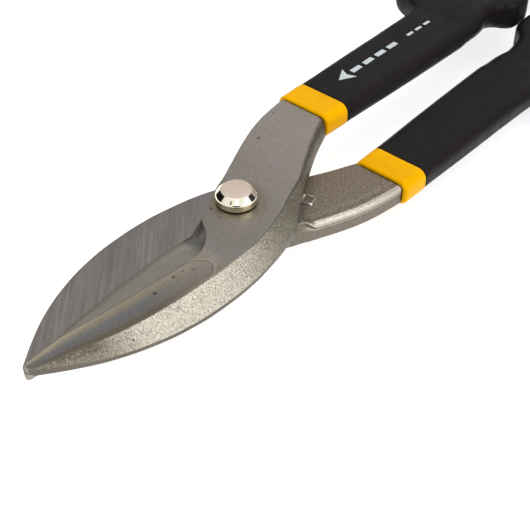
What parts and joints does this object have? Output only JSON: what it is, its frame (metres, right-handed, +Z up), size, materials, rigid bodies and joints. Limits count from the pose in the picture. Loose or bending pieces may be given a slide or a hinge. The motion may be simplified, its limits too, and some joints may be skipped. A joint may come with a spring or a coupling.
{
  "type": "tin snips",
  "caption": "Straight-pattern tin snips: crossed forged blade halves on a pivot bolt, each arm sleeved in a bright collar and a long dark grip with a finger guard.",
  "frame": {"origin": "centre of the pivot bolt's lower end face, on the pivot axis", "axes": "+Z up along the pivot axis towards the bolt's head, +X along the closed tool from the pivot towards the grips, blade tips at -X"},
  "size_m": [0.2542, 0.066, 0.0255],
  "materials": {
    "forged_steel": "satin",
    "polished_bolt": "polished",
    "zinc_plate": "satin",
    "nylon": "matte",
    "yellow_vinyl": "satin gloss",
    "black_vinyl": "satin"
  },
  "bodies": {
    "upper": {"upper_half": "forged_steel", "pivot_bolt": "polished_bolt", "pivot_washer": "zinc_plate", "lock_nut": "zinc_plate", "nut_insert": "nylon", "upper_grip_band": "yellow_vinyl", "upper_grip": "black_vinyl"},
    "lower": {"lower_half": "forged_steel", "lower_grip_band": "yellow_vinyl", "lower_grip": "black_vinyl"}
  },
  "joints": [
    {"name": "pivot", "type": "hinge", "parent": "upper", "child": "lower", "pos_m": [0, 0, 0.01515], "axis": [0, 0, -1], "range_deg": [0, 42]}
  ]
}
